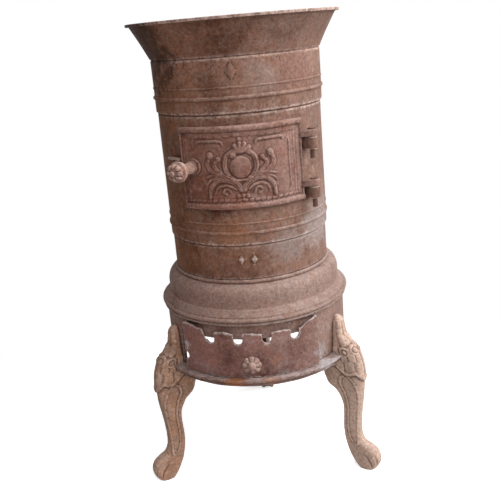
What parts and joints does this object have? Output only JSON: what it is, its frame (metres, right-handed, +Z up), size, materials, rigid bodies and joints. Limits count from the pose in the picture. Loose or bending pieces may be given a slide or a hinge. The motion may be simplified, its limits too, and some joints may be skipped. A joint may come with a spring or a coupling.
{
  "type": "rusty cast-iron stove",
  "caption": "Old round cast-iron stove on cabriole legs: stacked barrels, flared cooking top, hinged relief fire door with turning latch, sliding ash door and rear flue spigot; rusted all over.",
  "frame": {"origin": "on the floor under the axis of the stove's barrels", "axes": "+Z up along the barrels' axis, -Y to the front, where the fire door faces, +X to the hinge side"},
  "size_m": [0.4126, 0.4067, 0.7715],
  "materials": {
    "barrel": "rusted cast iron, red-brown, rough",
    "skirt": "rusted cast iron with a dusty pink-grey bloom",
    "base": "rusted cast iron, dark, dusty on its ledges",
    "top": "rusted cast iron, dark and sooty",
    "door": "rusted cast iron, red-brown with worn relief",
    "ash_door": "rusted cast iron, purple-brown, pale chipped edges",
    "leg": "rusted cast iron, tan-brown, worn pale on its edges",
    "knob": "rusted cast iron, pale and handled",
    "hardware": "rusted iron bolts, pins and latch",
    "flue": "rusted cast iron, sooty"
  },
  "bodies": {
    "stove": {"base_ring": "base", "bell_skirt": "skirt", "lower_barrel": "barrel", "grate": "top", "door_barrel": "barrel", "upper_barrel": "barrel", "flared_collar": "barrel", "top_plate": "top", "lid_ring": "top", "lid": "top", "leg_left": "leg", "leg_right": "leg", "leg_rear": "leg", "leg_bolts": "hardware", "flue_collar": "flue", "flue_bolts": "hardware"},
    "fire_door": {"fire_door": "door", "hinge_pin_upper": "hardware", "hinge_pin_lower": "hardware"},
    "latch": {"door_knob": "knob", "latch_tongue": "hardware", "latch_nut": "hardware"},
    "ash_door": {"ash_door": "ash_door", "ash_knob": "ash_door", "ash_knob_nut": "hardware"}
  },
  "joints": [
    {"name": "fire_door_hinge", "type": "hinge", "parent": "stove", "child": "fire_door", "pos_m": [0.1117, -0.0971, 0.55], "axis": [0, 0, 1], "range_deg": [0, 110]},
    {"name": "latch_turn", "type": "hinge", "parent": "fire_door", "child": "latch", "pos_m": [-0.07591, -0.12938, 0.557], "axis": [0.506, 0.8625, 0], "range_deg": [0, 90]},
    {"name": "ash_door_slide", "type": "hinge", "parent": "stove", "child": "ash_door", "pos_m": [0, 0, 0.24], "axis": [0, 0, 1], "range_deg": [-8, 12]}
  ]
}
